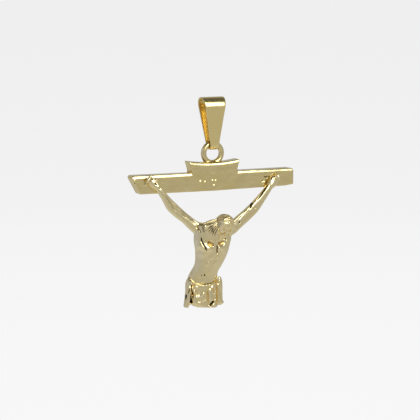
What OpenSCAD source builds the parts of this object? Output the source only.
// Crucifix pendant: a tapered bail, folded from one strip, carries one casting.
// The casting is a crossbar with a title board, a ring and a hanging figure.
// The origin is where a chain sits, inside the top bend of the bail.
// X runs along the crossbar, the figure faces -Y, and Z points up.

/* [Bail] */
// Thickness of the folded strip
strip_t = 0.3; // [0.2:0.02:0.34]
// Radius inside the top bend, where a chain runs
seat_r = 1.3; // [1:0.05:1.6]
// Radius inside the bottom bend, round the ring's wire
heel_r = 0.77; // [0.72:0.01:0.8]
// From the chain's seat down to the middle of the ring's wire
hang_len = 7.48; // [6.5:0.1:9]
// Width of the strip at the top bend
bail_top_w = 3.9; // [2.6:0.1:4.4]
// Width of the strip beside the ring's wire
bail_neck_w = 1.46; // [1.2:0.02:1.48]
// Width of the strip at the bottom bend
bail_foot_w = 1.34; // [1.1:0.02:1.36]

/* [Ring] */
// Radius of the ring to the middle of its wire
ring_r = 1.62; // [1.6:0.02:1.8]
// Radius of the wire
wire_r = 0.48; // [0.4:0.02:0.5]
// Width of the ring's foot on the title board
ring_foot_w = 3.7; // [3:0.1:4.4]
// Height of the ring's foot at its two shoulders
ring_foot_h = 0.4; // [0.2:0.05:0.5]

/* [Crossbar] */
// Length of the crossbar
beam_len = 29.9; // [26:0.1:34]
// How far the crossbar's middle lies left of the ring's
beam_shift = 0.12; // [0:0.01:0.3]
// Height of the crossbar at its middle
beam_h = 3.05; // [2.6:0.05:3.1]
// Thickness of the crossbar and the title board
beam_t = 2.1; // [1.8:0.1:2.4]
// From the middle of the ring down to the top of the crossbar
beam_drop = 3.1; // [3:0.05:3.4]
// How far the lower corner of the slanted end lies inboard
end_slant = 1.6; // [0.5:0.1:2.5]
// How much higher the lower edge is at the ends than in the middle
end_rise = 0.15; // [0:0.05:0.3]
// Radius of the upper corner at the square end
corner_r = 0.7; // [0.3:0.1:1]

/* [Title board] */
// Width of the title board across its top corners
board_top_w = 9.2; // [8:0.1:10]
// Width of the title board at its waist
board_waist_w = 8.6; // [7:0.1:9]
// From the middle of the ring down to the top corners
board_corner_drop = 1.2; // [1:0.05:1.5]
// How far the top edge dips between its corners
board_dip = 0.53; // [0.3:0.01:0.7]

/* [Figure] */
// Depth of the folds of the loincloth, as a share of its half width
fold_depth = 0.045; // [0:0.005:0.06]
// Number of folds round the loincloth
fold_count = 11; // [5:1:15]
// How far the hem rises and falls
hem_wave = 0.4; // [0:0.05:0.6]
// Forward bow of the head, in degrees
head_bow = 28; // [10:1:40]
// Sideways lean of the head, in degrees
head_lean = 13; // [0:1:25]
// Sides of each rounded form
sides = 22; // [16:2:28]

/* [Hidden] */
gold = "#cdb87c";
$fn = 48;
ring_drop = hang_len + ring_r;
board_dip_r = (pow(board_top_w / 2, 2) + pow(board_dip, 2)) / (2 * board_dip);
foot_z = -hang_len - heel_r - strip_t;
// Where round the hem its lowest point lies, in degrees
hem_low = 285;

// Sections of each form, from one end to the other, below the middle of the ring.
// Columns: x, y, z, half width, half depth
TORSO = [
    [-2.65, -2.05, -22.3, 2.60, 1.15],
    [-2.65, -2.05, -21.2, 2.70, 1.25],
    [-2.65, -2.10, -20.2, 2.55, 1.25],
    [-2.05, -2.15, -18.9, 2.30, 1.20],
    [-1.45, -2.25, -17.4, 2.60, 1.35],
    [-1.10, -2.30, -15.7, 3.10, 1.50],
    [-1.05, -2.20, -14.0, 3.30, 1.50],
    [-0.75, -2.05, -12.9, 3.30, 1.30],
    [-0.45, -1.95, -12.1, 2.70, 1.00],
    [-0.30, -2.00, -11.5, 1.60, 0.80],
    [-0.20, -2.00, -11.1, 0.90, 0.50],
];
LEFT_ARM = [
    [-2.80, -2.10, -13.2, 0.95, 0.95],
    [-4.10, -2.00, -12.0, 1.00, 0.95],
    [-5.65, -1.85, -10.45, 0.88, 0.85],
    [-7.15, -1.75,  -9.3, 0.84, 0.75],
    [-8.25, -1.70,  -8.3, 0.88, 0.72],
    [-9.35, -1.65,  -6.9, 0.72, 0.62],
    [-10.40, -1.55, -5.4, 0.50, 0.48],
    [-10.95, -1.50, -4.75, 0.50, 0.46],
];
RIGHT_ARM = [
    [ 1.90, -2.10, -13.3, 0.95, 0.95],
    [ 3.50, -2.00, -12.05, 1.20, 0.95],
    [ 5.05, -1.85, -10.85, 1.02, 0.85],
    [ 6.40, -1.75,  -9.75, 0.98, 0.80],
    [ 7.40, -1.70,  -8.7, 0.92, 0.74],
    [ 8.65, -1.65,  -7.25, 0.76, 0.64],
    [ 9.85, -1.55,  -5.8, 0.56, 0.50],
    [10.25, -1.50,  -5.2, 0.56, 0.46],
];
LEFT_HAND = [
    [-10.70, -1.46, -4.97, 0.50, 0.42],
    [-11.20, -1.47, -4.47, 0.74, 0.46],
    [-11.65, -1.46, -3.97, 0.78, 0.44],
    [-12.05, -1.44, -3.57, 0.45, 0.36],
];
RIGHT_HAND = [
    [10.05, -1.46, -5.37, 0.54, 0.42],
    [10.45, -1.47, -4.87, 0.76, 0.46],
    [10.85, -1.46, -4.37, 0.78, 0.44],
    [11.25, -1.44, -3.97, 0.45, 0.36],
];
LOINCLOTH = [
    [-2.50, -2.10, -25.1, 3.35, 1.50],
    [-2.55, -2.10, -23.8, 3.12, 1.50],
    [-2.60, -2.10, -22.4, 3.05, 1.50],
    [-2.65, -2.10, -21.2, 2.90, 1.45],
    [-2.65, -2.05, -20.7, 2.60, 1.25],
];
HIP_DRAPE = [
    [ 0.60, -2.20, -25.0, 0.42, 0.75],
    [ 0.30, -2.30, -23.2, 0.38, 0.80],
    [ 0.25, -2.35, -21.4, 0.42, 0.80],
    [ 0.10, -2.30, -20.5, 0.25, 0.45],
];
// The head, upright about its own middle
HEAD = [
    [0, -0.62, -1.95, 0.40, 0.30],
    [0, -0.50, -1.60, 0.78, 0.70],
    [0, -0.30, -1.00, 1.05, 1.10],
    [0, -0.10, -0.30, 1.22, 1.40],
    [0,  0.00,  0.50, 1.32, 1.55],
    [0,  0.05,  1.20, 1.12, 1.30],
    [0,  0.08,  1.65, 0.70, 0.85],
    [0,  0.10,  1.82, 0.25, 0.30],
];
NOSE = [
    [0, -1.42, -0.62, 0.24, 0.16],
    [0, -1.55, -0.50, 0.22, 0.22],
    [0, -1.42,  0.00, 0.14, 0.22],
    [0, -1.34,  0.40, 0.12, 0.12],
];
HAIR = [
    [0, 0.95, -1.70, 0.95, 0.40],
    [0, 0.62, -1.00, 1.42, 0.80],
    [0, 0.35, -0.20, 1.60, 1.18],
    [0, 0.15,  0.60, 1.62, 1.55],
    [0, 0.12,  1.30, 1.40, 1.45],
    [0, 0.12,  1.75, 0.95, 1.00],
    [0, 0.12,  1.97, 0.35, 0.40],
];
BEARD = [
    [0, -0.95, -2.15, 0.22, 0.20],
    [0, -0.88, -1.85, 0.55, 0.42],
    [0, -0.72, -1.35, 0.85, 0.62],
    [0, -0.55, -1.00, 0.75, 0.60],
];
HEAD_PLACE = [0.72, -3.0, -12.0];
// Locks of hair that fall to the shoulders
LEFT_LOCK = [
    [-1.35, -2.95, -13.7, 0.22, 0.22],
    [-1.35, -2.85, -13.0, 0.42, 0.42],
    [-1.20, -2.65, -12.0, 0.55, 0.55],
    [-0.75, -2.40, -11.1, 0.60, 0.60],
];
RIGHT_LOCK = [
    [ 1.95, -3.10, -13.9, 0.20, 0.22],
    [ 2.15, -2.95, -13.1, 0.36, 0.40],
    [ 2.20, -2.70, -12.1, 0.42, 0.50],
    [ 2.05, -2.40, -11.3, 0.45, 0.50],
];
// Raised forms on the front of the body. Columns: x, y, z, then the radii
MUSCLES = [
    [-2.45, -2.80, -13.9, 1.60, 0.85, 1.15],
    [ 0.40, -2.80, -14.0, 1.60, 0.85, 1.15],
    [-1.75, -2.90, -19.2, 1.10, 0.42, 1.30],
    [-4.90, -2.75, -21.0, 0.66, 0.66, 0.52],
    [-4.30, -3.05, -21.7, 0.45, 0.50, 0.70],
];

// A row part of the way from row i to row i + 1, on a smooth curve
function between(rows, i, t) =
    let (
        last = len(rows) - 1,
        a = rows[max(i - 1, 0)],
        b = rows[i],
        c = rows[i + 1],
        d = rows[min(i + 2, last)]
    )
    b + (c - a) * t / 2 + (2 * a - 5 * b + 4 * c - d) * t * t / 2
    + (3 * b - a - 3 * c + d) * t * t * t / 2;

// The rows with one more row worked out inside each step
function smooth(rows) =
    [for (i = [0 : len(rows) - 2]) each [rows[i], between(rows, i, 0.5)], rows[len(rows) - 1]];

// One closed section, square to the path, with folds round it and a waved edge
function section(rows, i, fold, wave) =
    let (
        row = rows[i],
        ahead = rows[min(i + 1, len(rows) - 1)],
        behind = rows[max(i - 1, 0)],
        run = [ahead[0] - behind[0], ahead[2] - behind[2]],
        along = run / norm(run)
    )
    [for (k = [0 : sides - 1])
        let (
            turn = 360 * k / sides,
            swell = 1 + fold * cos(fold_count * turn),
            across = row[3] * swell * cos(turn)
        )
        [
            row[0] + along[1] * across,
            row[1] + row[4] * swell * sin(turn),
            row[2] - along[0] * across - wave * cos(3 * (turn - hem_low))
        ]
    ];

// A closed form through its sections
module form(table, fold = 0, wave = 0) {
    rows = smooth(table);
    last = len(rows) - 1;
    polyhedron(
        points = [for (i = [0 : last]) each section(rows, i, fold, i == 0 ? wave : 0)],
        faces = [
            [for (k = [0 : sides - 1]) k],
            for (i = [0 : last - 1], k = [0 : sides - 1])
                let (next = (k + 1) % sides, low = i * sides, high = low + sides)
                each [[low + k, high + k, high + next], [low + k, high + next, low + next]],
            [for (k = [0 : sides - 1]) last * sides + sides - 1 - k],
        ]
    );
}

// Solid as wide as the bail and as deep as its loop, grown by the strip or not
module bail_core(grow, wide) {
    top_r = seat_r + grow;
    low_r = heel_r + grow;
    lean = asin((top_r - low_r) / (hang_len - seat_r));
    rotate([0, 90, 0]) {
        translate([seat_r, 0, 0]) cylinder(h = wide, r = top_r, center = true);
        translate([hang_len, 0, 0]) cylinder(h = wide, r = low_r, center = true);
        linear_extrude(wide, center = true)
            polygon([
                [seat_r + top_r * sin(lean), top_r * cos(lean)],
                [hang_len + low_r * sin(lean), low_r * cos(lean)],
                [hang_len + low_r * sin(lean), -low_r * cos(lean)],
                [seat_r + top_r * sin(lean), -top_r * cos(lean)],
            ]);
    }
}

// Folded strip, wide at the chain and narrow where it passes through the ring
module bail() {
    color(gold)
        difference() {
            intersection() {
                bail_core(strip_t, bail_top_w + 1);
                upright(4 * seat_r)
                    polygon([
                        [-bail_top_w / 2, strip_t],
                        [-bail_neck_w / 2, -hang_len],
                        [-bail_foot_w / 2, foot_z],
                        [bail_foot_w / 2, foot_z],
                        [bail_neck_w / 2, -hang_len],
                        [bail_top_w / 2, strip_t],
                    ]);
            }
            bail_core(0, bail_top_w + 2);
        }
}

// Stands an outline up in the plane of the crossbar, as thick as given
module upright(thick) {
    rotate([90, 0, 0])
        linear_extrude(thick, center = true)
            children();
}

// Bar with a slanted end on the left and a rounded upper corner on the right
module crossbar() {
    half = beam_len / 2;
    low = -beam_drop - beam_h;
    translate([-beam_shift, 0, 0]) upright(beam_t) {
        polygon([
            [-half, -beam_drop],
            [-half + end_slant, low + end_rise / 2],
            [0, low],
            [half, low + end_rise],
            [half, -beam_drop - corner_r],
            [half - corner_r, -beam_drop],
        ]);
        translate([half - corner_r, -beam_drop - corner_r]) circle(corner_r);
    }
}

// Board that flares to its top corners, with a hollow top edge
module title_board() {
    top = board_top_w / 2;
    waist = board_waist_w / 2;
    waist_z = -(board_corner_drop + beam_drop) / 2;
    root_z = -beam_drop - beam_h / 4;
    upright(beam_t)
        difference() {
            polygon([
                [-waist, root_z],
                [-waist, waist_z],
                [-top, -board_corner_drop],
                [top, -board_corner_drop],
                [waist, waist_z],
                [waist, root_z],
            ]);
            translate([0, board_dip_r - board_corner_drop - board_dip]) circle(board_dip_r);
        }
}

// Round wire ring with a low foot that spreads onto the board
module ring() {
    rotate([90, 0, 0])
        rotate_extrude()
            translate([ring_r, 0]) circle(wire_r);
    foot_base = -ring_r - wire_r / 2 - ring_foot_h / 4;
    upright(1.8 * wire_r)
        polygon([
            [-ring_foot_w / 2, foot_base],
            [-ring_foot_w / 3, foot_base + ring_foot_h],
            [ring_foot_w / 3, foot_base + ring_foot_h],
            [ring_foot_w / 2, foot_base],
        ]);
}

// Head with its hair, bowed forward and leaning to one side
module head() {
    translate(HEAD_PLACE)
        rotate([0, head_lean, 0])
            rotate([head_bow, 0, 0]) {
                form(HEAD);
                form(NOSE);
                form(HAIR);
                form(BEARD);
            }
    form(LEFT_LOCK);
    form(RIGHT_LOCK);
}

// Figure from the hands to the torn edge of the loincloth
module figure() {
    resize([0, 0, 0])
        union() {
            form(TORSO);
            form(LEFT_ARM);
            form(RIGHT_ARM);
            form(LEFT_HAND);
            form(RIGHT_HAND);
            form(LOINCLOTH, fold_depth, hem_wave);
            form(HIP_DRAPE);
            head();
            for (m = MUSCLES)
                translate([m[0], m[1], m[2]])
                    scale([m[3], m[4], m[5]])
                        sphere(1, $fn = 16);
        }
}

// One casting: crossbar, title board, ring and figure
module crucifix() {
    color(gold)
        translate([0, 0, -ring_drop]) {
            crossbar();
            title_board();
            ring();
            figure();
        }
}

bail();
crucifix();
